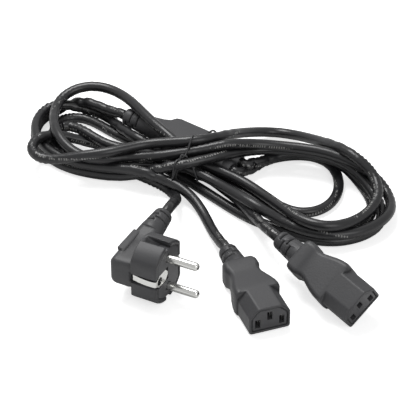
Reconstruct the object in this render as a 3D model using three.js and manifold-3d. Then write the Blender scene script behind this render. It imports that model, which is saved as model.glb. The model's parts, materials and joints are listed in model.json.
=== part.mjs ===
// A mains lead that feeds two appliances from one wall socket.
// An angled earthed plug and two appliance connectors hang on round cords that meet in a moulded
// junction. The spare cord is laid in a figure-eight hank and held at the waist by a wire tie.
// Millimetres, +Z up, the pieces lie on the surface z = 0.
import * as THREE from "three";
import { mergeVertices } from "three/addons/utils/BufferGeometryUtils.js";
import Module from "manifold-3d";

const wasm = await Module();
wasm.setup();

// Cord and the clearances between pieces
const CORD_DIAMETER = 6.2;
const CORD_SIDES = 10;
const GAP = 0.3;
const ARC_STEPS = 5;

// Appliance connector: x across the slots, y towards the chamfers, z out of the face
const NOSE_WIDTH = 24;
const NOSE_HEIGHT = 16.4;
const NOSE_LENGTH = 18;
const NOSE_CHAMFER = 5.4;
const NOSE_CORNER = 2;
const NOSE_EDGE = 0.5;
const RIM_WALL = 2;
const FACE_RECESS = 0.3;
const INSERT_DEPTH = 15.5;
const SLOT_PITCH = 14;
const SLOT_WIDTH = 3;
const SLOT_HEIGHT = 5.4;
const SLOT_DEPTH = 14.5;
const LINE_SLOT_Y = -2;
const EARTH_SLOT_Y = 2;
const CONTACT_THICKNESS = 0.4;
const CONTACT_HEIGHT = 4;
const CONTACT_LENGTH = 11;
const CONTACT_SETBACK = 2.5;

// Strain reliefs
const RELIEF_LENGTH = 17;
const RELIEF_TIP_RADIUS = 5.5;
const RELIEF_BASE_RADIUS = 6.8;
const RELIEF_CORE_RADIUS = 4.3;
const RELIEF_SLOT_WIDTH = 1.2;
const RELIEF_SLOT_PITCH = 2.7;
const RELIEF_SLOT_SPAN = 100;
const RELIEF_SLOT_ROWS = 4;

// Angled plug: x towards the cable, y up the pin line, z along the pins
const FACE_RADIUS = 18.5;
const FACE_HALF_WIDTH = 14.5;
const FACE_DEPTH = 16;
const PLUG_DEPTH = 30;
const PLUG_EDGE = 0.8;
const GUIDE_WIDTH = 5.4;
const GUIDE_DEPTH = 3;
const GUIDE_LENGTH = 13;
const PIN_PITCH = 19;
const PIN_DIAMETER = 4.8;
const PIN_LENGTH = 19;
const PIN_ROOT = 5;
const CARRIER_DEPTH = 6;
const CARRIER_WALL = 3;
const EARTH_HOLE_X = -9.6;
const EARTH_HOLE_DIAMETER = 5;
const EARTH_HOLE_DEPTH = 17;
const EARTH_PLATE_WIDTH = 7.4;
const EARTH_PLATE_REACH = 14;
const EARTH_STRIP_WIDTH = 3.6;
const EARTH_STRIP_THICKNESS = 0.8;
const EARTH_STRIP_LENGTH = 15;
const EARTH_RECESS_WIDTH = 6.4;
const EARTH_RECESS_DEPTH = 3;
const EARTH_RECESS_LENGTH = 17.5;
const PLUG_EXIT = new THREE.Vector3(22, 6.6, -22);
const PLUG_EXIT_TILT = 7;
const PLUG_RELIEF_LENGTH = 14.5;

// Junction: z runs from the trunk to the two branches
const BODY_LENGTH = 47;
const NECK_LENGTH = 12;
const TRUNK_RELIEF_LENGTH = 19;
const BRANCH_PITCH = 9.4;
const GLAND_RADIUS = 4.5;
const GLAND_LENGTH = 5;

// The layout's shift that puts the middle of the rigid pieces on the origin
const LAYOUT_SHIFT = [-1.2, 3.15];

// Where each piece lies: its place, and its heading, pitch and roll in degrees
const PLUG_PLACE = { at: [-40.6, -70.3, 18.8], heading: -27.2, pitch: 0, roll: 0 };
const CONNECTOR_A_PLACE = { at: [14.9, -99.5, 9.2], heading: -70, pitch: 0.5, roll: 0 };
const CONNECTOR_B_PLACE = { at: [64.5, -93.4, 12.8], heading: -49, pitch: -7.8, roll: 35 };
const JUNCTION_PLACE = { at: [-44.1, 75.3, 12.6], heading: -35.6, pitch: -2.8, roll: 0 };

// Hank: outline seen from above, and its height
const HANK_HEIGHT = 20;
const HANK_EDGE = 2.4;
const HANK_OUTLINE = [
  [-126, 47], [-127, 66], [-121, 90], [-106, 110], [-86, 117], [-64, 105], [-40, 84],
  [-10, 66], [20, 72], [52, 66], [78, 48], [90, 24], [90, 4], [82, -10], [62, -20],
  [38, -19], [24, -14], [4, -8], [-16, 14], [-34, 29], [-60, 33], [-92, 38], [-116, 38],
];

// Length of straight cord before a gland
const TAIL_APPROACH = 5;

// Routes of the three tails outside the hank, from the hank to the gland
const PLUG_TAIL = [[-48, 38, 6], [-43, 27, 7.5], [-38.5, 16, 10.5], [-36.6, 2, 16.5], [-38, -12, 23]];
const CONNECTOR_A_TAIL = [
  [-30, 28, 4], [-24, 14, 3.3], [-18, -3, 3.2], [-14.5, -15.5, 3.4], [-10.5, -30, 5],
];
const CONNECTOR_B_TAIL = [[3, -3, 15], [10, -17, 16.5], [15, -29, 18.5]];

// Wire tie: a single wire from its free tail, over the waist and under it, to the twist
const TIE_DIAMETER = 1.2;
const TIE_SIDES = 6;
const TIE_ROUTE = [
  [-22, 30, 4], [-26.5, 32, 11], [-29.5, 34, 18], [-31, 37.5, 21.6], [-29, 47, 21.8],
  [-25, 58, 22], [-19.5, 67, 21.8], [-15.5, 73.5, 18], [-14.5, 75, 10], [-16, 73, 3], [-23, 58, 1.1],
  [-32, 42, 1.1], [-32.5, 28, 1.1], [-32, 19, 3], [-31.8, 17.5, 8], [-32.5, 21, 14],
];

const material = (color, roughness, metalness) =>
  new THREE.MeshStandardMaterial({ color, roughness, metalness });
const MOULDING = { color: 0x2b2b2d, roughness: 0.5 };
const NICKEL = { color: 0xd9d9d6, roughness: 0.22 };
const moulding = () => material(MOULDING.color, MOULDING.roughness, 0);
const carrier = () => material(0x353537, 0.42, 0);
const sheath = () => material(0x232325, 0.4, 0);
const nickel = () => material(NICKEL.color, NICKEL.roughness, 1);

const root = new THREE.Group();
const layout = new THREE.Group();
layout.position.set(...LAYOUT_SHIFT, 0);
root.add(layout);

// Makes a manifold-3d solid from a closed three.js geometry.
function solid(geometry) {
  const bare = new THREE.BufferGeometry();
  const flat = geometry.index ? geometry.toNonIndexed() : geometry;
  bare.setAttribute("position", flat.getAttribute("position"));
  const merged = mergeVertices(bare, 1e-4);
  return new wasm.Manifold(
    new wasm.Mesh({
      numProp: 3,
      vertProperties: merged.attributes.position.array,
      triVerts: new Uint32Array(merged.index.array),
    }),
  );
}

// Adds a solid to a group as a named mesh.
function addMesh(group, name, body, look) {
  const made = body.getMesh();
  const geometry = new THREE.BufferGeometry();
  geometry.setAttribute("position", new THREE.BufferAttribute(made.vertProperties, 3));
  geometry.setIndex(new THREE.BufferAttribute(made.triVerts, 1));
  geometry.computeVertexNormals();
  const mesh = new THREE.Mesh(geometry, look);
  mesh.name = name;
  group.add(mesh);
  return mesh;
}

const joined = (first, ...others) => others.reduce((sum, piece) => sum.add(piece), first);
const cut = (body, ...tools) => tools.reduce((rest, tool) => rest.subtract(tool), body);

// A box from its centre and its three sizes.
function box(center, size) {
  return solid(new THREE.BoxGeometry(...size).translate(...center));
}

// A cylinder along z between two heights.
function rod(x, y, low, high, radius, sides = 24) {
  const geometry = new THREE.CylinderGeometry(radius, radius, high - low, sides);
  return solid(geometry.rotateX(Math.PI / 2).translate(x, y, (low + high) / 2));
}

// A turned shape: a profile of [radius, z] pairs that starts and ends on the axis.
function turned(profile, sides = 28) {
  const points = profile.map(([radius, z]) => new THREE.Vector2(radius, z));
  return solid(new THREE.LatheGeometry(points, sides).rotateX(Math.PI / 2));
}

// The outline of a rounded rectangle with its own centre, as [x, y] pairs.
function roundedRing({ x, y, corner, cx = 0, cy = 0 }) {
  const ring = [];
  for (let quarter = 0; quarter < 4; quarter += 1) {
    const sx = quarter === 0 || quarter === 3 ? 1 : -1;
    const sy = quarter < 2 ? 1 : -1;
    for (let step = 0; step <= ARC_STEPS; step += 1) {
      const angle = ((quarter + step / ARC_STEPS) * Math.PI) / 2;
      ring.push([
        cx + sx * (x - corner) + corner * Math.cos(angle),
        cy + sy * (y - corner) + corner * Math.sin(angle),
      ]);
    }
  }
  return ring;
}

// A skin through rounded rectangles at rising z, closed by a fan at each end.
function lofted(sections) {
  const rings = sections.map((section) => roundedRing(section));
  const count = rings[0].length;
  const position = [];
  const index = [];
  rings.forEach((ring, level) => {
    ring.forEach(([x, y]) => position.push(x, y, sections[level].z));
  });
  for (let level = 0; level + 1 < rings.length; level += 1) {
    for (let side = 0; side < count; side += 1) {
      const a = level * count + side;
      const b = level * count + ((side + 1) % count);
      index.push(a, b, b + count, a, b + count, a + count);
    }
  }
  const last = (rings.length - 1) * count;
  for (let side = 1; side + 1 < count; side += 1) {
    index.push(0, side + 1, side);
    index.push(last, last + side, last + side + 1);
  }
  const geometry = new THREE.BufferGeometry();
  geometry.setAttribute("position", new THREE.Float32BufferAttribute(position, 3));
  geometry.setIndex(index);
  return geometry;
}

// A flat outline pushed along z from low to high, with a small edge bevel.
function pushed(shape, low, high, edge = 0, margin = 0) {
  const geometry = new THREE.ExtrudeGeometry(shape, {
    depth: high - low - 2 * edge,
    bevelEnabled: edge > 0,
    bevelThickness: edge,
    bevelSize: edge,
    bevelOffset: margin - edge,
    bevelSegments: 2,
    curveSegments: ARC_STEPS,
  });
  return solid(geometry.translate(0, 0, low + edge));
}

// A tube along a smooth curve through points.
function tube(points, diameter, sides, steps) {
  const section = new THREE.Shape();
  section.absarc(0, 0, diameter / 2, 0, 2 * Math.PI);
  const path = new THREE.CatmullRomCurve3(points, false, "centripetal");
  const geometry = new THREE.ExtrudeGeometry(section, {
    steps,
    extrudePath: path,
    curveSegments: sides,
    bevelEnabled: false,
  });
  return solid(geometry);
}

// The matrix that lays a piece: z to its heading and pitch, then a roll about z.
function placing({ at, heading, pitch, roll }) {
  const turn = THREE.MathUtils.degToRad(heading);
  const rise = THREE.MathUtils.degToRad(pitch);
  const forward = new THREE.Vector3(
    Math.cos(turn) * Math.cos(rise),
    Math.sin(turn) * Math.cos(rise),
    Math.sin(rise),
  );
  const across = new THREE.Vector3(-Math.sin(turn), Math.cos(turn), 0);
  const upward = new THREE.Vector3().crossVectors(forward, across);
  return new THREE.Matrix4()
    .makeBasis(across, upward, forward)
    .multiply(new THREE.Matrix4().makeRotationZ(THREE.MathUtils.degToRad(roll)))
    .setPosition(...at);
}

// A group that holds one piece's meshes where the piece lies.
function placedGroup(place) {
  const group = new THREE.Group();
  group.applyMatrix4(placing(place));
  layout.add(group);
  return group;
}

// A sector cut out of a strain relief between its core and its skin.
function reliefSlot(middle, z) {
  const half = THREE.MathUtils.degToRad(RELIEF_SLOT_SPAN / 2);
  const center = THREE.MathUtils.degToRad(middle);
  const outer = RELIEF_BASE_RADIUS + 1;
  const shape = new THREE.Shape();
  shape.absarc(0, 0, outer, center - half, center + half, false);
  shape.absarc(0, 0, RELIEF_CORE_RADIUS, center + half, center - half, true);
  return pushed(shape, z - RELIEF_SLOT_WIDTH / 2, z + RELIEF_SLOT_WIDTH / 2);
}

// A tapered strain relief from its base at z = 0 to its tip at z = -length, with rows of slots
// that take turns between the two sides and the top and bottom.
function strainRelief(length, sunk) {
  const tip = RELIEF_TIP_RADIUS;
  const cone = turned([
    [0, -length],
    [tip - 1.4, -length],
    [tip - 0.4, -length + 0.5],
    [tip, -length + 1.6],
    [RELIEF_BASE_RADIUS, 0],
    [RELIEF_BASE_RADIUS, sunk],
    [0, sunk],
  ]);
  const slots = [];
  for (let row = 0; row < RELIEF_SLOT_ROWS; row += 1) {
    const z = -length + 3.6 + row * RELIEF_SLOT_PITCH;
    const first = row % 2 === 0 ? 45 : 135;
    slots.push(reliefSlot(first, z), reliefSlot(first + 180, z));
  }
  return cut(cone, ...slots);
}

// The outline of a connector's nose, drawn in by a margin: two corners are chamfered.
function noseOutline(margin) {
  const x = NOSE_WIDTH / 2 - margin;
  const y = NOSE_HEIGHT / 2 - margin;
  const chamfer = NOSE_CHAMFER - margin * 0.6;
  const corner = Math.max(NOSE_CORNER - margin * 0.5, 0.6);
  const shape = new THREE.Shape();
  shape.moveTo(-x + corner, -y);
  shape.lineTo(x - corner, -y);
  shape.quadraticCurveTo(x, -y, x, -y + corner);
  shape.lineTo(x, y - chamfer - 0.7);
  shape.quadraticCurveTo(x, y - chamfer, x - 0.7, y - chamfer + 0.7);
  shape.lineTo(x - chamfer + 0.7, y - 0.7);
  shape.quadraticCurveTo(x - chamfer, y, x - chamfer - 0.9, y);
  shape.lineTo(-x + chamfer + 0.9, y);
  shape.quadraticCurveTo(-x + chamfer, y, -x + chamfer - 0.7, y - 0.7);
  shape.lineTo(-x + 0.7, y - chamfer + 0.7);
  shape.quadraticCurveTo(-x, y - chamfer, -x, y - chamfer - 0.7);
  shape.lineTo(-x, -y + corner);
  shape.quadraticCurveTo(-x, -y, -x + corner, -y);
  return shape;
}

const COLLAR_END = -49.5;
const GRIP_DROP = -0.4;

// The grip behind the nose: it swells, draws in to a neck and ends in a thick collar.
const GRIP_SECTIONS = [
  { z: COLLAR_END, x: 8.4, y: 6.4, corner: 3.6, cy: GRIP_DROP },
  { z: -48.6, x: 9.6, y: 7.3, corner: 3.2, cy: GRIP_DROP },
  { z: -46.5, x: 10.2, y: 7.7, corner: 3, cy: GRIP_DROP },
  { z: -42.6, x: 10.3, y: 7.7, corner: 3, cy: GRIP_DROP },
  { z: -41, x: 9.7, y: 7.2, corner: 3, cy: GRIP_DROP },
  { z: -38.5, x: 9.1, y: 6.8, corner: 3, cy: GRIP_DROP },
  { z: -35.5, x: 9.5, y: 7, corner: 3, cy: GRIP_DROP },
  { z: -32, x: 10.6, y: 7.4, corner: 3, cy: GRIP_DROP },
  { z: -28, x: 11.9, y: 7.9, corner: 3, cy: GRIP_DROP },
  { z: -24, x: 12.8, y: 8.4, corner: 3, cy: -0.3 },
  { z: -20.5, x: 13.1, y: 8.7, corner: 2.8, cy: -0.3 },
  { z: -18.4, x: 12.9, y: 8.5, corner: 2.8, cy: -0.3 },
  { z: -18, x: 12.5, y: 8.1, corner: 2.6, cy: -0.3 },
];

// One female contact: two leaves joined by a web at the back.
function contact(x, y) {
  const leafX = SLOT_WIDTH / 2 - GAP - CONTACT_THICKNESS / 2;
  const front = -FACE_RECESS - CONTACT_SETBACK;
  const back = front - CONTACT_LENGTH;
  const middle = (front + back) / 2;
  const leaf = [CONTACT_THICKNESS, CONTACT_HEIGHT, CONTACT_LENGTH];
  const web = [2 * leafX + CONTACT_THICKNESS, CONTACT_HEIGHT, CONTACT_THICKNESS];
  return joined(
    box([x - leafX, y, middle], leaf),
    box([x + leafX, y, middle], leaf),
    box([x, y, back + CONTACT_THICKNESS / 2], web),
  );
}

// One appliance connector with its overmould, carrier and three contacts.
function addConnector(name, place) {
  const group = placedGroup(place);
  const nose = pushed(noseOutline(0), -NOSE_LENGTH - 2, 0, NOSE_EDGE);
  const relief = strainRelief(RELIEF_LENGTH, 2);
  const pocket = pushed(noseOutline(RIM_WALL - GAP), -INSERT_DEPTH - FACE_RECESS - GAP, 1);
  const shell = joined(nose, solid(lofted(GRIP_SECTIONS)), relief.translate([0, GRIP_DROP, COLLAR_END]));
  addMesh(group, `${name}_body`, cut(shell, pocket), moulding());

  const seats = [
    ["line", -SLOT_PITCH / 2, LINE_SLOT_Y],
    ["neutral", SLOT_PITCH / 2, LINE_SLOT_Y],
    ["earth", 0, EARTH_SLOT_Y],
  ];
  const block = pushed(noseOutline(RIM_WALL), -INSERT_DEPTH - FACE_RECESS, -FACE_RECESS, 0.25);
  const slots = seats.map(([, x, y]) =>
    box([x, y, -FACE_RECESS - SLOT_DEPTH / 2 + 0.5], [SLOT_WIDTH, SLOT_HEIGHT, SLOT_DEPTH + 1]),
  );
  addMesh(group, `${name}_insert`, cut(block, ...slots), carrier());
  seats.forEach(([pole, x, y]) => {
    addMesh(group, `${name}_contact_${pole}`, contact(x, y), nickel());
  });
}

// The round plug front seen along the pins: a circle cut flat on two sides.
function frontOutline(margin) {
  const radius = FACE_RADIUS - margin;
  const flat = FACE_HALF_WIDTH - margin;
  const limit = Math.acos(flat / radius);
  const shape = new THREE.Shape();
  shape.absarc(0, 0, radius, limit, Math.PI - limit, false);
  shape.absarc(0, 0, radius, Math.PI + limit, 2 * Math.PI - limit, false);
  return shape;
}

// Sections across the cable direction of the plug's grip, from its closed side to the relief.
const PLUG_GRIP = [
  { z: -13.6, x: 5.6, y: 6.4, corner: 3.4, cx: 22, cy: 0 },
  { z: -13.1, x: 6.9, y: 7.7, corner: 3.4, cx: 22, cy: 0 },
  { z: -11.6, x: 7.8, y: 8.6, corner: 3.6, cx: 22, cy: 0 },
  { z: -8, x: 8, y: 9, corner: 4, cx: 22, cy: 0 },
  { z: 6, x: 8, y: 9.2, corner: 4.2, cx: 22, cy: 0.2 },
  { z: 12, x: 7.8, y: 8.8, corner: 4.6, cx: 22, cy: 1.2 },
  { z: 17, x: 7.5, y: 8.2, corner: 5.4, cx: 22, cy: 3.4 },
  { z: 21, x: 7.1, y: 7.3, corner: 6.4, cx: 22, cy: 5.6 },
  { z: 23.5, x: 6.6, y: 6.7, corner: 6.4, cx: 22, cy: 6.6 },
];

// Turns a shape built along z so that it runs along the plug's cable direction, x.
function alongCable(geometry) {
  return geometry.rotateY(Math.PI / 2);
}

// Two finger ribs along the back edge of the grip, one above and one below.
function fingerRib(side) {
  return box([4.6, side * 9.4, -PLUG_DEPTH + 2.9], [18.5, 2.2, 4]);
}

// The side recess that an earth strip lies in, open to the front.
function earthRecess(side) {
  const depth = EARTH_RECESS_DEPTH + 2;
  const x = side * (FACE_HALF_WIDTH - EARTH_RECESS_DEPTH + depth / 2);
  return box(
    [x, 0, (1 - EARTH_RECESS_LENGTH) / 2],
    [depth, EARTH_RECESS_WIDTH, EARTH_RECESS_LENGTH + 1],
  );
}

// An earth strip: a bowed spring along the side and a lip bent onto the face.
function earthStrip(side, reach) {
  const skin = FACE_HALF_WIDTH - 0.7;
  const t = EARTH_STRIP_THICKNESS;
  const bow = new THREE.Shape();
  bow.moveTo(skin - reach, -0.1);
  bow.lineTo(skin - 0.9, -0.1);
  bow.quadraticCurveTo(skin + 0.2, -0.2, skin + 0.4, -1.6);
  bow.quadraticCurveTo(skin + 1.1, -EARTH_STRIP_LENGTH * 0.45, skin - 0.7, -EARTH_STRIP_LENGTH);
  bow.lineTo(skin - 0.7 - t, -EARTH_STRIP_LENGTH);
  bow.quadraticCurveTo(skin + 1.1 - t, -EARTH_STRIP_LENGTH * 0.45, skin + 0.4 - t, -1.9);
  bow.quadraticCurveTo(skin - 0.6, -0.1 - t, skin - 1.4, -0.1 - t);
  bow.lineTo(skin - reach, -0.1 - t);
  bow.closePath();
  const strip = pushed(bow, -EARTH_STRIP_WIDTH / 2, EARTH_STRIP_WIDTH / 2);
  return strip.rotate([90, 0, side > 0 ? 0 : 180]);
}

// The contact plate on the face, with the hole that takes a socket's earth pin.
function earthPlate() {
  const half = EARTH_PLATE_WIDTH / 2;
  const outer = -FACE_HALF_WIDTH + 3;
  const inner = -FACE_HALF_WIDTH + EARTH_PLATE_REACH;
  const shape = new THREE.Shape();
  shape.moveTo(outer - 1.5, -EARTH_STRIP_WIDTH / 2);
  shape.lineTo(outer + 1.2, -half);
  shape.lineTo(inner - 2.6, -half);
  shape.lineTo(inner, -half + 2.8);
  shape.lineTo(inner, half - 2.8);
  shape.lineTo(inner - 2.6, half);
  shape.lineTo(outer + 1.2, half);
  shape.lineTo(outer - 1.5, EARTH_STRIP_WIDTH / 2);
  shape.closePath();
  return pushed(shape, -0.1 - EARTH_STRIP_THICKNESS, -0.1);
}

// One plug pin: a round bar with a domed end and a thin collar in the carrier.
function plugPin(y) {
  const radius = PIN_DIAMETER / 2;
  const bar = turned([
    [0, -PIN_ROOT],
    [radius, -PIN_ROOT],
    [radius, PIN_LENGTH - 1.6],
    [radius * 0.86, PIN_LENGTH - 0.8],
    [radius * 0.5, PIN_LENGTH - 0.15],
    [0, PIN_LENGTH],
  ]);
  return bar.translate([0, y, 0]);
}

// The plug: overmould, face carrier, two pins and two earth strips.
function addPlug() {
  const group = placedGroup(PLUG_PLACE);
  const front = pushed(frontOutline(0), -FACE_DEPTH, 0, PLUG_EDGE);
  const grip = solid(alongCable(lofted(PLUG_GRIP)));
  const relief = strainRelief(PLUG_RELIEF_LENGTH, 3)
    .rotate([0, -90, 0])
    .rotate([0, 0, PLUG_EXIT_TILT])
    .translate(PLUG_EXIT.toArray());
  const guides = [1, -1].map((side) =>
    box(
      [0, side * (FACE_RADIUS - GUIDE_DEPTH / 2 + 1), (1 - GUIDE_LENGTH) / 2],
      [GUIDE_WIDTH, GUIDE_DEPTH + 2, GUIDE_LENGTH + 1],
    ),
  );
  const carrierPocket = pushed(frontOutline(CARRIER_WALL - GAP), -CARRIER_DEPTH - GAP, 1);
  const earthHole = rod(EARTH_HOLE_X, 0, -EARTH_HOLE_DEPTH, 0, EARTH_HOLE_DIAMETER / 2 + GAP);
  const body = joined(front, grip, relief, fingerRib(1), fingerRib(-1));
  addMesh(
    group,
    "plug_body",
    cut(body, ...guides, earthRecess(1), earthRecess(-1), carrierPocket, earthHole),
    moulding(),
  );

  const platePocket = box(
    [-FACE_HALF_WIDTH + EARTH_PLATE_REACH / 2, 0, 0],
    [EARTH_PLATE_REACH + 1, EARTH_PLATE_WIDTH + 1, 2 * (EARTH_STRIP_THICKNESS + 0.4)],
  );
  const farPocket = box(
    [FACE_HALF_WIDTH - 2, 0, 0],
    [8, EARTH_STRIP_WIDTH + 1, 2 * (EARTH_STRIP_THICKNESS + 0.4)],
  );
  const pinHoles = [1, -1].map((side) =>
    rod(0, (side * PIN_PITCH) / 2, -CARRIER_DEPTH, 1, PIN_DIAMETER / 2 + GAP),
  );
  const face = pushed(frontOutline(CARRIER_WALL), -CARRIER_DEPTH, 0, 0.3);
  addMesh(
    group,
    "plug_carrier",
    cut(face, platePocket, farPocket, ...pinHoles, ...guides, earthRecess(1), earthRecess(-1), earthHole),
    carrier(),
  );
  addMesh(group, "plug_pin_line", plugPin(PIN_PITCH / 2), nickel());
  addMesh(group, "plug_pin_neutral", plugPin(-PIN_PITCH / 2), nickel());
  const plateHole = rod(EARTH_HOLE_X, 0, -3, 1, EARTH_HOLE_DIAMETER / 2);
  const near = joined(earthStrip(-1, 2.4), earthPlate());
  addMesh(group, "plug_earth_contact_near", cut(near, plateHole), nickel());
  addMesh(group, "plug_earth_contact_far", earthStrip(1, 4.4), nickel());
}

// Sections of the junction from the trunk's neck to the branch end, grown by a margin.
function junctionSections(margin) {
  const sections = [
    { z: -NECK_LENGTH, x: 6.6, y: 6.6, corner: 6.3 },
    { z: -NECK_LENGTH / 2, x: 7.4, y: 6.9, corner: 5.6 },
    { z: -1.2, x: 8.4, y: 7.4, corner: 4.6 },
    { z: 1.4, x: 10.4, y: 8.4, corner: 4 },
    { z: 4, x: 11, y: 8.8, corner: 4 },
    { z: 26, x: 11.2, y: 8.9, corner: 4 },
    { z: 38, x: 10.6, y: 8.3, corner: 4 },
    { z: BODY_LENGTH - 3, x: 9.8, y: 7, corner: 4 },
    { z: BODY_LENGTH, x: 8.8, y: 5.6, corner: 4 },
  ];
  return sections.map(({ z, x, y, corner }) => ({ z, x: x + margin, y: y + margin, corner }));
}

// The moulded junction that splits the trunk into two branches.
function addJunction() {
  const group = placedGroup(JUNCTION_PLACE);
  const relief = strainRelief(TRUNK_RELIEF_LENGTH, 1).translate([0, 0, -NECK_LENGTH]);
  const glands = [1, -1].map((side) =>
    rod((side * BRANCH_PITCH) / 2, 0, BODY_LENGTH - 1, BODY_LENGTH + GLAND_LENGTH, GLAND_RADIUS, 20),
  );
  const body = joined(solid(lofted(junctionSections(0))), relief, ...glands);
  addMesh(group, "junction_body", body, moulding());
}

// Room for the junction in the hank, open above and below.
function junctionRoom() {
  const reach = NECK_LENGTH + TRUNK_RELIEF_LENGTH + GAP;
  const middle = (BODY_LENGTH + GLAND_LENGTH + GAP - reach) / 2;
  const length = BODY_LENGTH + GLAND_LENGTH + GAP + reach;
  const room = new THREE.BoxGeometry(2 * (11.2 + 0.6), 60, length);
  room.translate(0, 0, middle).applyMatrix4(placing(JUNCTION_PLACE));
  return solid(room);
}

const vectors = (rows) => rows.map((row) => new THREE.Vector3(...row));

// The hank's outer shape, grown by a margin.
function hankShape(margin) {
  const outline = new THREE.CatmullRomCurve3(
    HANK_OUTLINE.map(([x, y]) => new THREE.Vector3(x, y, 0)),
    true,
    "centripetal",
  );
  const shape = new THREE.Shape(
    outline.getPoints(3 * HANK_OUTLINE.length).map(({ x, y }) => new THREE.Vector2(x, y)),
  );
  return pushed(shape, -margin, HANK_HEIGHT + margin, HANK_EDGE, margin);
}

// The spare cord: one solid of the hank's outer shape, open where the junction and tie pass.
function addHank() {
  const tieRoom = tube(vectors(TIE_ROUTE), TIE_DIAMETER + 1.4, TIE_SIDES, 48);
  addMesh(layout, "cord_hank", cut(hankShape(0), junctionRoom(), tieRoom), sheath());
}

// A point on a gland's axis, a distance past its tip, in the frame of the whole part.
function gland(place, x, y, z) {
  return new THREE.Vector3(x, y, z).applyMatrix4(placing(place));
}

// One tail of cord from the hank to a gland.
function addTail(name, route, before, tip) {
  const points = [...vectors(route), before, tip];
  const tail = tube(points, CORD_DIAMETER, CORD_SIDES, 3 * points.length);
  addMesh(layout, name, cut(tail, hankShape(GAP)), sheath());
}

addPlug();
addConnector("connector_a", CONNECTOR_A_PLACE);
addConnector("connector_b", CONNECTOR_B_PLACE);
addJunction();
addHank();
addMesh(layout, "wire_tie", tube(vectors(TIE_ROUTE), TIE_DIAMETER, TIE_SIDES, 48), nickel());

// The points just short of a connector's relief and at its tip.
const connectorEnds = (place) =>
  [TAIL_APPROACH, 0].map((extra) =>
    gland(place, 0, GRIP_DROP, COLLAR_END - RELIEF_LENGTH - GAP - extra),
  );
addTail("cord_connector_a_tail", CONNECTOR_A_TAIL, ...connectorEnds(CONNECTOR_A_PLACE));
addTail("cord_connector_b_tail", CONNECTOR_B_TAIL, ...connectorEnds(CONNECTOR_B_PLACE));

const tilt = THREE.MathUtils.degToRad(PLUG_EXIT_TILT);
const plugEnds = [TAIL_APPROACH, 0].map((extra) => {
  const reach = PLUG_RELIEF_LENGTH + GAP + extra;
  const along = PLUG_EXIT.x + reach * Math.cos(tilt);
  const up = PLUG_EXIT.y + reach * Math.sin(tilt);
  return gland(PLUG_PLACE, along, up, PLUG_EXIT.z);
});
addTail("cord_plug_tail", PLUG_TAIL, ...plugEnds);

export default root;
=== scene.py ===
# %% [markdown]
# # A mains lead that feeds two appliances
# The object is an angled earthed plug, a moulded junction and two appliance connectors on round
# PVC cords, with the spare cord coiled flat and tied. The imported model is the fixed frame: its
# rigid pieces stay where they are, and this script gives them their finish and makes the cords.

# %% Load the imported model
import json

import bmesh
import bpy
import numpy as np
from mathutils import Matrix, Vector


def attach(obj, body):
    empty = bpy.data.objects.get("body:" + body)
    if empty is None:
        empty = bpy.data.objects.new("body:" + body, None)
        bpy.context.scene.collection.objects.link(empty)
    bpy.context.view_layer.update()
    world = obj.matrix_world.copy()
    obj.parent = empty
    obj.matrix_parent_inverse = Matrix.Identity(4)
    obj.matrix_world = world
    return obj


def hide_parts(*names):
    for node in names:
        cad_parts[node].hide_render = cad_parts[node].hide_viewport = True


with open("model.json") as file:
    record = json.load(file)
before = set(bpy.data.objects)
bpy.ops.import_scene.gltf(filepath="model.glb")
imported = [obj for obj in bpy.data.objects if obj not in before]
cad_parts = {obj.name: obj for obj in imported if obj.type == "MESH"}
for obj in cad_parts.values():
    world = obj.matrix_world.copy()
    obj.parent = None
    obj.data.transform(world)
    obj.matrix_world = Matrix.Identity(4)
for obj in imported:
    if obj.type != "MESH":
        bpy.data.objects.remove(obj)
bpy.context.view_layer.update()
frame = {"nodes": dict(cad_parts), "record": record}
print("CAD nodes:", len(frame["nodes"]))

# %% [markdown]
# ## Small helpers
# Lengths are thought of in millimetres and given to Blender in metres. Colours are written as
# they look on a screen and turned to linear light once. One function adds a node with its
# settings and links, so a material reads as a list of nodes.

# %% Helpers for units, colours and nodes
MM = 0.001
# from the frame that the pieces were laid out in to the object's own frame, in millimetres
LAYOUT_SHIFT = np.array([-1.2, 3.15, 0.0])


def linear(hex_colour):
    """sRGB hex to linear RGBA: each channel through the screen's curve."""
    channels = np.array([int(hex_colour[i : i + 2], 16) for i in (1, 3, 5)]) / 255
    low = channels / 12.92
    high = ((channels + 0.055) / 1.055) ** 2.4
    return (*np.where(channels <= 0.04045, low, high).tolist(), 1.0)


def node(tree, kind, settings=None, **links):
    """Adds a node, sets its properties and sockets, and links sockets by name.

    A plain value goes into a socket, and a node's output is joined to it. A key such as i0 is a
    socket's number, for nodes whose sockets share a name."""
    made = tree.nodes.new(kind)
    for key, value in (settings or {}).items():
        setattr(made, key, value)
    for key, value in links.items():
        numbered = key[0] == "i" and key[1:].isdigit()
        socket = made.inputs[int(key[1:]) if numbered else key.replace("_", " ")]
        if isinstance(value, bpy.types.NodeSocket):
            tree.links.new(value, socket)
        else:
            socket.default_value = value
    return made


def new_material(name):
    """An empty node material and its tree, with a Principled shader on the output."""
    material = bpy.data.materials.new(name)
    material.use_nodes = True
    tree = material.node_tree
    tree.nodes.clear()
    output = tree.nodes.new("ShaderNodeOutputMaterial")
    shader = tree.nodes.new("ShaderNodeBsdfPrincipled")
    tree.links.new(shader.outputs["BSDF"], output.inputs["Surface"])
    return material, tree, shader


print("a mid grey in linear light:", round(linear("#808080")[0], 3))

# %% [markdown]
# ## Camera
# The pictured view looks down at 36 degrees from in front, from a little over a metre, with a
# long lens. A fixed look-at point and distance give the same framing.

# %% Camera
ELEVATION = np.radians(36)
DISTANCE = 1.15
LOOK_AT = np.array([-0.0202, 0.01915, 0.0])
# from the object to the camera, and the picture's upward direction
away = np.array([0.0, -np.cos(ELEVATION), np.sin(ELEVATION)])
picture_up = np.array([0.0, np.sin(ELEVATION), np.cos(ELEVATION)])

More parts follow.
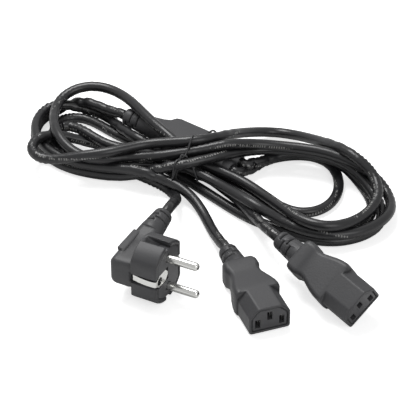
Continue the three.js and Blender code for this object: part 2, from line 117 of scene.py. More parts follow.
camera_data = bpy.data.cameras.new("camera")
camera_data.lens = 168.2
camera_data.sensor_width = 36
camera_data.clip_start = 0.05
camera = bpy.data.objects.new("camera", camera_data)
camera.location = (LOOK_AT + DISTANCE * away).tolist()
camera.rotation_euler = (np.pi / 2 - ELEVATION, 0, 0)
bpy.context.collection.objects.link(camera)
bpy.context.scene.camera = camera
bpy.context.scene.view_settings.view_transform = "Standard"
print("camera at", [round(v, 3) for v in camera.location])

# %% [markdown]
# ## The three cords
# The trunk runs from the junction through the whole hank to the plug. Each branch leaves a gland
# of the junction, takes one turn through the hank and ends in a connector. The points below are
# the route as the picture shows it, with a height for what is over and under what. They are rough
# in height: a short relaxation then lets the cords fall onto the floor and onto each other, keeps
# them about a cord's width apart and eases the bends. While they fall they stay near the line of
# sight of their route, so the picture they make changes little.

# %% Route points as seen: column, row, height in mm, and how firmly the point is held
CORD = 6.2  # the cord's diameter
LOOKED_AT = np.array([-19.0, 16.0, 0.0])
EYE = LOOKED_AT + 1150.0 * away
FOCAL = 1939  # the lens in pixels of a picture of 415 by 415
MIDDLE = 207.5


def seen(column, row, height, hold=1.0):
    """The layout point at a height behind a place in the picture, and its hold.

    The ray leaves the eye along forward + right * dx / FOCAL + up * dy / FOCAL, with dx and dy in
    pixels from the middle, and is followed until it reaches the height."""
    right = np.array([1.0, 0, 0])
    ray = -away + right * (column - MIDDLE) / FOCAL + picture_up * (MIDDLE - row) / FOCAL
    return [*(EYE + ray * (height - EYE[2]) / ray[2]), hold]


def route_of(*parts):
    """One route of rows x, y, z, hold. A part is a list of seen points or an array of places."""
    return np.vstack([
        [seen(*point) for point in part] if isinstance(part, list) else part for part in parts
    ])


TRUNK = route_of(
    [   # out of the junction, round the outer left loop and along the front on the floor
        (112, 111.5, 12), (100, 107.5, 9.5), (88, 105, 7), (78, 105, 5), (68, 107, 4), (58, 110, 3.1),
        (50, 114, 3.1), (43, 119, 3.1), (38, 126, 3.1), (35.5, 134, 3.1), (37, 143, 3.1),
        (43, 151.5, 3.1), (52, 159, 3.1), (62, 165, 3.1), (75, 169.5, 3.1), (90, 173, 3.1),
        (105, 175, 3.1), (120, 176, 4), (135, 174.5, 7), (150, 171, 12), (170, 167, 17),
        # up over the waist, along the third upper strand and round a right loop
        (190, 163, 20), (210, 158.5, 20), (230, 154, 17), (250, 151, 12), (270, 149.8, 9),
        (290, 150.5, 8), (310, 153, 8), (330, 157.5, 8), (345, 164, 7), (358, 173, 6),
        (367, 184, 3.1), (373, 194, 3.1), (379, 204, 3.1), (382, 214, 3.1), (380, 223, 3.1),
        (372, 231, 3.1), (360, 236.5, 3.1), (345, 240, 3.1), (330, 241.5, 3.1), (315, 240, 3.1),
        (300, 236, 3.1), (282, 230, 3.1), (266, 225, 3.1), (250, 218.5, 3.1), (235, 210, 3.1),
        # the long low diagonal back to the left
        (220, 201, 3.1), (205, 191.5, 3.1), (190, 182, 3.1), (175, 173.5, 3.1), (160, 165.5, 3.1),
        (145, 158, 3.1), (130, 152, 3.1), (115, 147.5, 3.1), (98, 145, 3.1),
    ],
    # the fold at the far left, as places: low behind, high in front
    np.array([
        (-92, 80, 3.1, 0.4), (-100, 80.5, 5, 0.3), (-109, 80, 8.5, 0.3), (-118, 77, 10.5, 0.3),
        (-126, 70.5, 11.5, 0.3), (-130, 61, 12.5, 0.4), (-127.5, 51, 14, 0.4), (-120, 44, 15.5, 0.4),
        (-110, 42, 16, 0.5),
    ]),
    [   # the front strand over the waist, and round the outer right loop
        (70, 156.3, 16), (85, 155.5, 16), (100, 153.7, 16), (115, 151.3, 17), (130, 147.5, 19),
        (140, 145, 21), (150, 143.5, 23), (170, 142, 24), (190, 142, 24), (205, 140.3, 24),
        (220, 137, 22), (235, 133.8, 17.5), (250, 132.3, 14), (270, 132, 11), (290, 134, 9),
        (310, 138.5, 8), (330, 145, 8), (350, 154.5, 8), (360, 161, 9), (368, 168.5, 10),
        (374, 177, 10), (377.5, 186, 10), (378, 195, 10), (375, 203, 9.6), (369, 211, 9.5),
        (360, 218, 9.4), (349, 223, 9.3), (337, 226, 9.3), (325, 226.3, 9.3), (312, 224, 9.5),
        (300, 219, 9.5), (288, 211.5, 9.5), (275, 203, 9.5), (260, 192.5, 9.5), (245, 183, 10),
        (230, 174.5, 11), (215, 166.5, 13), (200, 158, 15),
        # the upper diagonal, over the junction to the tall arc at the back left
        (186, 148.5, 17), (172, 138, 20), (160, 129, 22.5), (150, 119.5, 23.5), (140, 110, 23),
        (130, 101, 21), (120, 94, 20), (110, 89.5, 19), (100, 87, 18), (90, 86, 17.5),
        (80, 88, 17), (70, 92, 17), (62, 98, 16.5), (57, 106, 16.3), (54.5, 114, 15.5),
        (54.5, 122, 15.5), (56, 130, 15), (60, 138, 14), (66, 145, 12), (73, 151, 10.5),
        (82, 156, 9.5), (95, 159.5, 9.5), (110, 158.7, 10),
        # the second upper strand and the outermost right loop
        (125, 157, 12), (140, 156.7, 15), (155, 156.2, 19), (170, 154.5, 22), (190, 151, 23),
        (210, 147.5, 22), (230, 144.7, 18), (250, 143.8, 14), (270, 145, 11), (290, 147, 9.5),
        (310, 149.3, 9.3), (330, 153, 9), (345, 158.5, 7.5), (358, 165.5, 5), (370, 174, 3.1),
        (380, 183, 3.1), (387, 193, 3.1), (390, 203, 3.1), (388.5, 211.5, 5), (382, 220.5, 7),
        (372, 227.3, 6), (360, 231.3, 4.5), (348, 233.7, 3.1), (335, 234.5, 3.1), (320, 233.5, 3.1),
        (305, 230, 3.1), (290, 224.5, 3.1), (275, 217.5, 3.1), (260, 209, 3.1), (245, 199.5, 3.1),
        (230, 190.5, 3.1), (215, 182, 3.1), (200, 174, 3.1), (185, 167, 4), (170, 161.5, 6),
        (155, 156, 8), (140, 151.5, 9.3), (125, 148.5, 9.3), (112, 146, 9), (100, 141.5, 7),
        # the small left loop, and out below the waist to the plug
        (92, 136.5, 8), (82, 131, 7.5), (73, 126, 6.5, 0.5), (64, 121.5, 5, 0.2),
        (55, 119.5, 4, 0.15), (47.5, 122.5, 3.1, 0.15), (44, 129.5, 3.1, 0.15), (45, 137, 4, 0.15),
        (50, 144, 6, 0.15), (59, 150.5, 6, 0.2), (71, 156.5, 5, 0.3), (86, 162, 4, 0.5),
        (101, 165, 3.1), (116, 167.5, 3.1), (129, 171.5, 3.1), (141, 176.5, 3.1), (151, 180.5, 4),
        (161, 185, 6), (170, 190.5, 8.5), (176, 197, 13),
    ],
)
BRANCH_A = route_of([
    (262, 163, 4.5), (270, 159.5, 3.1), (280, 157.3, 3.1), (290, 155.8, 3.1), (300, 155.3, 3.1),
    (310, 156, 3.1), (320, 158.5, 3.1), (328, 162.5, 3.1), (334, 168.5, 3.1), (337.5, 176, 3.1),
    (338.5, 184, 3.1), (337.5, 192, 3.1), (334, 199, 3.1), (328, 205, 3.1), (320, 210, 3.1),
    (310, 213, 3.1), (300, 213.5, 3.1), (290, 211, 3.1), (278, 205.5, 3.1), (265, 198, 3.1),
    (250, 189.5, 3.1), (235, 181, 3.1), (220, 173, 3.1), (205, 165, 4), (190, 157, 6),
    (175, 149.5, 9, 0.5), (162, 144, 12, 0.5), (150, 138.5, 14, 0.5), (140, 134, 14.5),
    (130, 129, 14), (120, 124, 13), (110, 119, 12), (100, 114, 10.5), (90, 109, 9.3),
    (80, 105, 9.3), (72, 102.5, 10, 0.6), (64, 101.5, 9.8, 0.3), (56, 103, 9.5, 0.3),
    (49, 107, 9.4, 0.3), (42.5, 112.5, 9.4, 0.3), (38, 119, 9.4, 0.3), (35.5, 127, 9.4, 0.3),
    (36.5, 135.5, 9.4, 0.3), (42, 144, 9.4, 0.3), (51, 151.5, 9.4, 0.3), (61, 157, 9.4, 0.4),
    (74, 161.5, 9.3, 0.5), (88, 165, 9.3, 0.7), (104, 167.5, 9.3), (120, 168.5, 9.3),
    (136, 170.5, 9.3), (150, 174, 9.3), (161, 178.5, 9.3), (172, 183.5, 9.3), (180, 188, 8),
    (188, 193, 6), (195, 201, 4.5), (202, 211.5, 4), (209, 223.5, 4), (215, 235.5, 5),
])
BRANCH_B = route_of([
    (268, 158.5, 7, 0.3), (280, 155, 4, 0.4), (295, 153, 3.1), (310, 154.5, 3.1), (325, 158.5, 3.1),
    (340, 165, 3.1), (351, 173.5, 3.1), (360, 184, 3.1), (367, 194, 3.1), (372, 203, 3.1),
    (373, 211, 3.1), (369, 218, 3.1), (360, 224, 3.1), (348, 228, 3.1), (335, 229.5, 3.1),
    (320, 228.3, 3.1), (305, 224.5, 3.1), (290, 218, 3.1), (275, 210.5, 3.1), (260, 202, 3.1),
    (245, 193, 3.1), (230, 184, 3.1), (215, 175, 3.1), (200, 167, 4), (185, 159, 6),
    (170, 154, 8), (155, 149.5, 9), (140, 146, 9.5), (130, 141, 9.3), (120, 136, 8),
    (110, 131, 6.5), (100, 126, 5), (91, 121, 4), (82, 116, 3.5, 0.6), (73, 112.5, 3.1, 0.3),
    (64, 112, 3.1, 0.15), (56, 115, 3.1, 0.15), (51.5, 122, 3.1, 0.15), (51.5, 130, 3.1, 0.15),
    (55, 138.5, 4, 0.15), (62, 146, 7, 0.15), (72, 153, 9, 0.2), (85, 158.5, 9, 0.3),
    (102, 162, 8, 0.5), (120, 163.5, 7), (140, 164.5, 7), (160, 165.8, 8), (180, 168, 10),
    (200, 173, 13), (212, 180.5, 14), (225, 190, 15.5), (238, 200.5, 16.5), (250, 211.5, 17.5),
    (261, 222.5, 18.5), (270, 231.5, 20),
])
print("route points:", len(TRUNK), len(BRANCH_A), len(BRANCH_B))

# %% [markdown]
# ## Where the cords start and end
# The four glands are given by the pieces' own places: a heading, a pitch and a roll turn a
# piece's length axis, and a point in the piece's own frame becomes a point on the table.

# %% Glands in the object's frame


def frame_of(at, heading, pitch, roll):
    """The place and the three axes of a piece.

    Its length axis points along heading and pitch, the axis across lies flat at right angles,
    the third is their cross product, and both turn about the length by roll."""
    turn, rise, spin = np.radians([heading, pitch, roll])
    forward = np.array([np.cos(turn) * np.cos(rise), np.sin(turn) * np.cos(rise), np.sin(rise)])
    across = np.array([-np.sin(turn), np.cos(turn), 0.0])
    upward = np.cross(forward, across)
    x_axis = across * np.cos(spin) + upward * np.sin(spin)
    y_axis = upward * np.cos(spin) - across * np.sin(spin)
    return np.array(at), np.stack([x_axis, y_axis, forward])


def placed(piece, x, y, z):
    """A point of a piece's own frame, in layout millimetres."""
    at, axes = piece
    return at + np.array([x, y, z]) @ axes


PLUG = frame_of([-40.6, -70.3, 18.8], -27.2, 0, 0)
CONNECTOR_A = frame_of([14.9, -99.5, 9.2], -70, 0.5, 0)
CONNECTOR_B = frame_of([64.5, -93.4, 12.8], -49, -7.8, 35)
JUNCTION = frame_of([-44.1, 75.3, 12.6], -35.6, -2.8, 0)
PLUG_TILT = np.radians(7)


def plug_gland(extra):
    """A point on the axis of the plug's strain relief, a distance past its tip."""
    reach = 14.8 + extra
    along = 22 + reach * np.cos(PLUG_TILT)
    return placed(PLUG, along, 6.6 + reach * np.sin(PLUG_TILT), -22)


starts = {
    "trunk": [placed(JUNCTION, 0, 0, -31.3 - extra) for extra in (0, 5)],
    "branch_a": [placed(JUNCTION, -4.7, 0, 52.3 + extra) for extra in (0, 5)],
    "branch_b": [placed(JUNCTION, 4.7, 0, 52.3 + extra) for extra in (0, 5)],
}
ends = {
    "trunk": [plug_gland(extra) for extra in (7, 0)],
    "branch_a": [placed(CONNECTOR_A, 0, -0.4, -66.8 - extra) for extra in (7, 0)],
    "branch_b": [placed(CONNECTOR_B, 0, -0.4, -66.8 - extra) for extra in (7, 0)],
}
print("trunk starts at", starts["trunk"][0].round(1))

# %% [markdown]
# ## A smooth line through the points
# A centripetal Catmull-Rom curve passes through every point without overshooting. It is sampled
# at even steps of 2 mm, so every later step can treat a cord as a chain of short equal links.

# %% Smooth line at even steps
STEP = 2.0
SPAN_SAMPLES = 24  # between two route points, before the resampling


def even_line(points, step):
    """Points at even steps along a centripetal Catmull-Rom curve.

    Knots are spaced by the square root of each chord; each span blends three straight lines,
    then two, then one, and the whole is resampled by its running length."""
    p = np.vstack([2 * points[0] - points[1], points, 2 * points[-1] - points[-2]])
    p0, p1, p2, p3 = p[:-3, None], p[1:-2, None], p[2:-1, None], p[3:, None]
    chords = [p1 - p0, p2 - p1, p3 - p2]
    gaps = [np.linalg.norm(chord[..., :3], axis=2, keepdims=True) ** 0.5 for chord in chords]
    t1, t2 = gaps[0], gaps[0] + gaps[1]
    t3 = t2 + gaps[2]
    t = t1 + gaps[1] * np.linspace(0, 1, SPAN_SAMPLES, endpoint=False)[None, :, None]
    a1 = (t1 - t) / t1 * p0 + t / t1 * p1
    a2 = (t2 - t) / (t2 - t1) * p1 + (t - t1) / (t2 - t1) * p2
    a3 = (t3 - t) / (t3 - t2) * p2 + (t - t2) / (t3 - t2) * p3
    b1 = (t2 - t) / t2 * a1 + t / t2 * a2
    b2 = (t3 - t) / (t3 - t1) * a2 + (t - t1) / (t3 - t1) * a3
    curve = ((t2 - t) / (t2 - t1) * b1 + (t - t1) / (t2 - t1) * b2).reshape(-1, p.shape[1])
    curve = np.vstack([curve, points[-1:]])
    run = np.r_[0, np.cumsum(np.linalg.norm(np.diff(curve[:, :3], axis=0), axis=1))]
    places = np.linspace(0, run[-1], int(round(run[-1] / step)) + 1)
    return np.stack([np.interp(places, run, column) for column in curve.T], axis=1)


ROUTES = {"trunk": TRUNK, "branch_a": BRANCH_A, "branch_b": BRANCH_B}
lines = [
    even_line(np.vstack([np.c_[starts[name], [1, 1]], route, np.c_[ends[name], [1, 1]]]), STEP)
    for name, route in ROUTES.items()
]
print("rough lengths in mm:", [round((len(line) - 1) * STEP) for line in lines])

# %% [markdown]
# ## Letting the cords settle
# This is a small position-based simulation, the kind that games use for ropes. Every turn of the
# loop lowers all links a little, straightens bends that are too tight, keeps links their length,
# pulls the cords gently back to their route, and pushes apart any two links that are closer than
# a cord's width. The junction is a rounded block that pushes cords out, and the floor holds them.

# %% Settling
RADIUS = CORD / 2
TIGHTEST_BEND = 15.0  # the radius below which a bend is eased
TURNS = 460
CALM_TURNS = 60  # the last turns have no fall
EVEN_TURNS = 120  # the last turns are evened as well
FALL = 0.05  # per turn
PULL = 0.16  # share of the way back to the line of sight, per turn
REACH = 9.5  # links nearer than this are watched
BACK_SOFT, BACK_HARD = 117.0, 120.4  # where the tall arc is lifted, and where it is stopped
LEFT_HARD = -130.8
cord_of = np.concatenate([np.full(len(line), i) for i, line in enumerate(lines)])
link_of = np.concatenate([np.arange(len(line)) for line in lines])
spans = np.r_[0, np.cumsum([len(line) for line in lines])]
route, hold = np.split(np.vstack(lines), [3], axis=1)
hold = np.clip(hold, 0.15, 1)
free = np.ones(len(route))
near_junction = np.zeros(len(route), bool)
for first, last in zip(spans[:-1], spans[1:]):
    free[first : first + 4] = 0  # the straight starts and ends stay in their glands
    free[last - 5 : last] = 0
    near_junction[first : first + 10] = True
free = free[:, None]

# the junction's half width and half height at places along its length, with rounded corners
BLOCK_Z = [-31, -12, -6, -1.2, 1.4, 4, 26, 38, 44, 47]
BLOCK_X = [6.0, 6.8, 7.4, 8.4, 10.4, 11.0, 11.2, 10.6, 9.8, 8.8]
BLOCK_Y = [6.0, 6.8, 6.9, 7.4, 8.4, 8.8, 8.9, 8.3, 7.0, 5.6]
BLOCK_CORNER = 4.0


def out_of_block(points):
    """How far each point must move to lie a cord's radius outside the junction.

    The block's section is a rounded box. With q the offset from its inner corner, the distance
    to it is |max(q, 0)| + min(max(qx, qy), 0) less the corner's radius."""
    local = (points - JUNCTION[0]) @ JUNCTION[1].T
    half_x = np.interp(local[:, 2], BLOCK_Z, BLOCK_X)
    half_y = np.interp(local[:, 2], BLOCK_Z, BLOCK_Y)
    qx = np.abs(local[:, 0]) - (half_x - BLOCK_CORNER)
    qy = np.abs(local[:, 1]) - (half_y - BLOCK_CORNER)
    out_x, out_y = np.maximum(qx, 0), np.maximum(qy, 0)
    distance = np.hypot(out_x, out_y) + np.minimum(np.maximum(qx, qy), 0) - BLOCK_CORNER
    inside = (local[:, 2] > -31) & (local[:, 2] < 47.5) & ~near_junction
    need = np.where(inside, np.maximum(RADIUS + 0.2 - distance, 0), 0)
    push = np.stack([out_x * np.sign(local[:, 0]), out_y * np.sign(local[:, 1])], 1)
    push[np.hypot(*push.T) == 0] = (0, -1)
    push = push / np.hypot(*push.T)[:, None] * need[:, None]
    return push[:, :1] * JUNCTION[1][0] + push[:, 1:] * JUNCTION[1][1]


def close_pairs(points, reach):
    """Pairs of links nearer than reach that are not neighbours on one cord."""
    found = []
    for start in range(0, len(points), 400):
        part = points[start : start + 400]
        gap = ((part[:, None] - points[None]) ** 2).sum(2)
        a, b = np.nonzero(gap < reach**2)
        a = a + start
        keep = (a < b) & ((cord_of[a] != cord_of[b]) | (np.abs(link_of[a] - link_of[b]) > 9))
        found.append(np.stack([a[keep], b[keep]], 1))
    return np.vstack(found).T


def evened(line, strength):
    """Smooths a line in place without shrinking it, by Taubin's pair of steps.

    Each point moves to the mean of those 8 mm before and after it, then a little more than the
    same share away again, which leaves wide bends and takes out short ones."""
    for share in (strength, -1.035 * strength):
        change = (line[8:] + line[:-8]) / 2 - line[4:-4]
        line[4:-4] += share * change


def eased(q):
    """Straightens a cord in place where it bends more tightly than TIGHTEST_BEND.

    An arc of radius R over a half chord h has a height of h^2 / 2R. What is more than that is
    taken off, at the middle and at both ends of a short and of a long piece of cord."""
    for reach in (5, 9):
        bow = (q[2 * reach :] + q[: -2 * reach]) / 2 - q[reach:-reach]
        height = np.linalg.norm(bow, axis=1)
        half = np.linalg.norm(q[2 * reach :] - q[: -2 * reach], axis=1) / 2
        allowed = half**2 / (2 * TIGHTEST_BEND)
        excess = np.maximum(height - allowed, 0) / np.maximum(height, 1e-6)
        step = bow * excess[:, None]
        change = np.zeros_like(q)
        change[reach:-reach] += 0.35 * step
        change[: -2 * reach] -= 0.17 * step
        change[2 * reach :] -= 0.17 * step
        q += change
    q[2:-2] += 0.15 * ((q[4:] + q[:-4]) / 2 - q[2:-2])


def spaced(q):
    """Brings the links of a cord in place back towards a length of STEP, every other link first."""
    for phase in (0, 1):
        pair = q[phase + 1 :: 2] - q[phase:-1:2]
        length = np.linalg.norm(pair, axis=1)
        slip = pair * ((length - STEP) / length * 0.25)[:, None]
        q[phase:-1:2] += slip
        q[phase + 1 :: 2] -= slip


def parted(p, a, b, clear=CORD + 0.06):
    """Pushes the pairs a, b apart to the distance clear, more upward than sideways.

    A link that is pushed by several others moves by the sum over the root of their number."""
    apart = p[b] - p[a]
    distance = np.linalg.norm(apart, axis=1)
    hit = distance < clear
    way = apart[hit] / distance[hit][:, None] * (0.6, 0.6, 1.0)
    way *= (0.5 * (clear - distance[hit]) / np.linalg.norm(way, axis=1))[:, None]
    change = np.zeros_like(p)
    count = np.ones(len(p))
    np.add.at(change, a[hit], -way)
    np.add.at(change, b[hit], way)
    np.add.at(count, a[hit], 1)
    np.add.at(count, b[hit], 1)
    return p + change / np.sqrt(np.maximum(count - 1, 1))[:, None]


def settle(points, turns):
    """The relaxation described above, on a copy of the points."""
    p = points.copy()
    for turn in range(turns):
        if turn % 12 == 0:
            a, b = close_pairs(p, REACH)
        p[:, 2] -= FALL * free[:, 0] * (turn < turns - CALM_TURNS)
        for first, last in zip(spans[:-1], spans[1:]):
            q = p[first:last]
            eased(q)
            if turn > turns - EVEN_TURNS:
                evened(q, 0.3)
            spaced(q)
        level = (p[:, 2:] - EYE[2]) / (route[:, 2:] - EYE[2])
        p[:, :2] += PULL * hold * (EYE[:2] + (route[:, :2] - EYE[:2]) * level - p[:, :2])
        p[:, 2] += 0.35 * np.maximum(p[:, 1] - BACK_SOFT, 0)
        for _ in range(3):
            p = parted(p, a, b)
            p += 0.7 * out_of_block(p)
            p[:, 1] = np.minimum(p[:, 1], BACK_HARD)
            p[:, 0] = np.maximum(p[:, 0], LEFT_HARD)
            p[:, 2] = np.maximum(p[:, 2], RADIUS)
        p = np.where(free > 0, p, points)
    for first, last in zip(spans[:-1], spans[1:]):
        for _ in range(14):
            evened(p[first:last], 0.3)
    p[:, 2] = np.maximum(p[:, 2], RADIUS)
    return p


settled = settle(route, TURNS)
cord_lines = [settled[first:last] for first, last in zip(spans[:-1], spans[1:])]
a, b = close_pairs(settled, CORD)
nearest = np.linalg.norm(settled[a] - settled[b], axis=1).min() if len(a) else CORD
print("highest link %.1f mm, nearest pair %.2f mm" % (settled[:, 2].max(), nearest))

# %% [markdown]
# ## The sheath
# A cord is a circle carried along its line. A mesh tube is made here and not a bevelled curve,
# because the tube can carry its own UV map: u is the distance along the cord in metres and v
# goes once round it, which lets the printed line follow the cord.

# %% Cord tubes
SIDES = 18
PRINT_DRIFT = 1.7  # how far the printed line wanders round the cord, in radians


def carried_circle(name, line, radius, sides, drift=0.0):
    """A closed tube: rings of sides points round every point of a line.

    Round the line's direction t, with n the camera's side, the ring's axes are t x n and the cross
    product of that with t: a point is line + radius * (cos(v) * face + sin(v) * side). The ring
    turns slowly to and fro along the line by drift, in radians. The ends close in a fan."""
    line = np.asarray(line, float)
    count = len(line)
    run = np.r_[0, np.cumsum(np.linalg.norm(np.diff(line, axis=0), axis=1))]
    along = np.gradient(line, axis=0)
    along /= np.linalg.norm(along, axis=1)[:, None]
    side = np.cross(along, away)
    side /= np.linalg.norm(side, axis=1)[:, None]
    face = np.cross(side, along)
    turn = drift * np.sin(2 * np.pi * run / 0.31) + 0.7 * drift * np.sin(2 * np.pi * run / 0.173)
    angle = 2 * np.pi * np.arange(sides)[None] / sides + turn[:, None] + np.pi
    ring = np.cos(angle)[..., None] * face[:, None] + np.sin(angle)[..., None] * side[:, None]
    skin = (line[:, None] + radius * ring).reshape(-1, 3)
    vertices = np.vstack([skin, line[:1], line[-1:]])
    row, column = np.meshgrid(np.arange(count - 1), np.arange(sides), indexing="ij")
    after = (column + 1) % sides
    here, ahead_ring = row * sides, (row + 1) * sides
    quads = np.stack([here + column, here + after, ahead_ring + after, ahead_ring + column], -1)
    quads = quads.reshape(-1, 4)
    fan = np.arange(sides)
    ahead = (fan + 1) % sides
    start_fan = np.stack([ahead, fan, np.full(sides, count * sides)], 1)
    base = (count - 1) * sides
    end_fan = np.stack([base + fan, base + ahead, np.full(sides, count * sides + 1)], 1)
    mesh = bpy.data.meshes.new(name)
    faces = quads.tolist() + start_fan.tolist() + end_fan.tolist()
    mesh.from_pydata(vertices.tolist(), [], faces)
    mesh.polygons.foreach_set("use_smooth", np.ones(len(mesh.polygons), bool))
    u = run[np.stack([row, row, row + 1, row + 1], -1).reshape(-1, 4)]
    v = np.stack([column, column + 1, column + 1, column], -1).reshape(-1, 4) / sides
    uv = np.concatenate([np.stack([u, v], -1).reshape(-1, 2), np.zeros((6 * sides, 2))])
    layer = mesh.uv_layers.new(name="along")
    layer.data.foreach_set("uv", uv.astype(np.float32).ravel())
    mesh.update()
    thing = bpy.data.objects.new(name, mesh)
    bpy.context.collection.objects.link(thing)
    return thing


tubes = {}
for name, line in zip(ROUTES, cord_lines):
    metres = (line + LAYOUT_SHIFT) * MM
    thing = carried_circle(name, metres, RADIUS * MM, SIDES, drift=PRINT_DRIFT)
    length = float(np.linalg.norm(np.diff(metres, axis=0), axis=1).sum())
    tubes[name] = (thing, metres, length)
    print(name, "%.3f m" % length, len(thing.data.polygons), "faces")

# %% [markdown]
# ## Declaring the cords
# Each cord rides on the only body there is and stands for its solids: the trunk for the hank and
# the plug's tail, and each branch for its own tail.

stands_for = {
    "trunk": ("cord_hank", "cord_plug_tail"),
    "branch_a": ("cord_connector_a_tail",),
    "branch_b": ("cord_connector_b_tail",),
}
for name, (thing, metres, length) in tubes.items():
    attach(thing, "root")
    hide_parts(*stands_for[name])
print("cords declared:", len(tubes))

# %% [markdown]
# ## The wire tie
# A thin plastic-coated wire goes once round the waist of the hank, is twisted in front, and its
# two tails point down. Its route is given from above; its height is found by laying it on the
# cords, as the highest circle of cord under each point.

# %% Wire tie
WIRE = 1.25  # the coated wire's diameter
WIRE_STEP = 0.8
WIRE_SIDES = 10
BLOCK_TOP = 12.4 + 8.9 + WIRE / 2


def laid_on(path):
    """Raises each point of a path so that the wire lies on the cords and the junction.

    Over a cord the height is that of a circle of the cord's and wire's radii together."""
    reach = RADIUS + WIRE / 2
    flat = np.linalg.norm(path[:, None, :2] - settled[None, :, :2], axis=2)
    tops = settled[None, :, 2] + np.sqrt(np.maximum(reach**2 - flat**2, 0)) * (flat < reach)
    tops = np.where(flat < reach, tops, 0).max(axis=1)
    local = (np.column_stack([path[:, :2], np.full(len(path), 12.0)]) - JUNCTION[0]) @ JUNCTION[1].T
    over = (np.abs(local[:, 0]) < 11) & (local[:, 2] > -10) & (local[:, 2] < 46)
    block = np.where(over, BLOCK_TOP, 0)
    return np.maximum(np.maximum(tops, block), path[:, 2])


def softened(path, turns):
    """Evens a line by moving each point to the mean of its neighbours."""
    for _ in range(turns):
        path[1:-1] = 0.5 * path[1:-1] + 0.25 * (path[2:] + path[:-2])
    return path


over_top = even_line(np.array([
    (-40, 27, 1), (-39, 30, 8), (-37, 33, 15), (-34, 36, 20), (-31, 41, 22), (-28, 48, 22),
    (-24, 55, 22), (-19, 62, 22), (-14, 68, 18), (-11, 73, 9), (-13, 74, 2),
], float), WIRE_STEP)
over_top[:, 2] = laid_on(over_top)
over_top = softened(over_top, 14)
knot = over_top[np.argmin(np.abs(over_top[:, 1] - 36))]
along = np.linspace(0, 1, 60)[:, None]
loop = knot + np.hstack([
    3.2 * np.sin(2 * np.pi * 1.5 * along),
    -0.6 - 1.5 * along,
    1.6 - 4.4 * along + 1.2 * np.cos(9 * along),
])
right_tail = even_line(np.vstack([loop[-1], [
    knot + (5, -1.6, -1.5), knot + (7.5, -4.2, -7), knot + (9.5, -6, -13),
]]), WIRE_STEP)
left_tail = even_line(np.vstack([loop[0], [
    knot + (-2, -2.6, -4), knot + (-4, -5.6, -12),
]]), WIRE_STEP)
wire_line = (np.vstack([over_top[::-1], loop, right_tail[1:]]) + LAYOUT_SHIFT) * MM
tail_line = (left_tail + LAYOUT_SHIFT) * MM
tie = carried_circle("tie_wire", wire_line, WIRE / 2 * MM, WIRE_SIDES)
tail = carried_circle("tie_tail", tail_line, WIRE / 2 * MM, WIRE_SIDES)
for piece in (tie, tail):
    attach(piece, "root")
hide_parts("wire_tie")
print("tie:", len(wire_line), "points, knot at", knot.round(1))

# %% [markdown]
# ## Sheath finish
# The cord's sheath is extruded flexible PVC, black, with a soft sheen from the die. A mottle some
# 15 mm across from handling keeps the highlight along it uneven, and a fine grain of 1 mm breaks
# it a little. A worn line of print runs along the cord, 1.3 mm wide. Here it is plain ticks of
# about 1.6 mm in groups of 55 mm, which is all that the eye can tell at this distance.

# %% Sheath material
MULTIPLY, LESS, FRACTION = (
    {"operation": "MULTIPLY"}, {"operation": "LESS_THAN"}, {"operation": "FRACT"}
)
TICKS_PER_METRE, TICK_SHARE = 640.0, 0.56
GROUPS_PER_METRE, GROUP_SHARE = 11.0, 0.6
PRINT_HALF_WIDTH = 0.034  # as a share of the way round the cord

sheath, tree, shader = new_material("extruded_pvc_sheath")
uv = node(tree, "ShaderNodeUVMap", {"uv_map": "along"})
along_and_round = node(tree, "ShaderNodeSeparateXYZ", Vector=uv.outputs[0])
distance, round_it = along_and_round.outputs["X"], along_and_round.outputs["Y"]
place = node(tree, "ShaderNodeTexCoord")
mottle = node(tree, "ShaderNodeTexNoise", Vector=place.outputs["Object"], Scale=60.0, Detail=4.0)
tone = node(tree, "ShaderNodeMix", {"data_type": "RGBA"}, i0=mottle.outputs["Fac"])
tone.inputs[6].default_value = linear("#19191b")
tone.inputs[7].default_value = linear("#262628")

ticks = node(tree, "ShaderNodeMath", MULTIPLY, i0=distance, i1=TICKS_PER_METRE)
ticks = node(tree, "ShaderNodeMath", FRACTION, i0=ticks.outputs[0])
tick_on = node(tree, "ShaderNodeMath", LESS, i0=ticks.outputs[0], i1=TICK_SHARE)
groups = node(tree, "ShaderNodeMath", MULTIPLY, i0=distance, i1=GROUPS_PER_METRE)
groups = node(tree, "ShaderNodeMath", FRACTION, i0=groups.outputs[0])
group_on = node(tree, "ShaderNodeMath", LESS, i0=groups.outputs[0], i1=GROUP_SHARE)
offset = node(tree, "ShaderNodeMath", {"operation": "SUBTRACT"}, i0=round_it, i1=0.5)
offset = node(tree, "ShaderNodeMath", {"operation": "ABSOLUTE"}, i0=offset.outputs[0])
line_on = node(tree, "ShaderNodeMath", LESS, i0=offset.outputs[0], i1=PRINT_HALF_WIDTH)
worn = node(tree, "ShaderNodeTexNoise", Vector=place.outputs["Object"], Scale=420.0, Detail=2.0)
worn_on = node(tree, "ShaderNodeMath", {"operation": "GREATER_THAN"}, i0=worn.outputs["Fac"], i1=0.47)
marks = tick_on
for other in (group_on, line_on, worn_on):
    marks = node(tree, "ShaderNodeMath", MULTIPLY, i0=marks.outputs[0], i1=other.outputs[0])
colour = node(tree, "ShaderNodeMix", {"data_type": "RGBA"}, i0=marks.outputs[0])
tree.links.new(tone.outputs[2], colour.inputs[6])
colour.inputs[7].default_value = linear("#8e8e8c")
tree.links.new(colour.outputs[2], shader.inputs["Base Color"])

gloss = node(tree, "ShaderNodeMapRange", Value=mottle.outputs["Fac"], To_Min=0.27, To_Max=0.37)
tree.links.new(gloss.outputs[0], shader.inputs["Roughness"])
fine = node(tree, "ShaderNodeTexNoise", Vector=place.outputs["Object"], Scale=900.0, Detail=2.0)
bump = node(tree, "ShaderNodeBump", Height=fine.outputs["Fac"], Strength=0.12, Distance=0.0003)
tree.links.new(bump.outputs[0], shader.inputs["Normal"])
shader.inputs["IOR"].default_value = 1.53
print("sheath nodes:", len(tree.nodes))

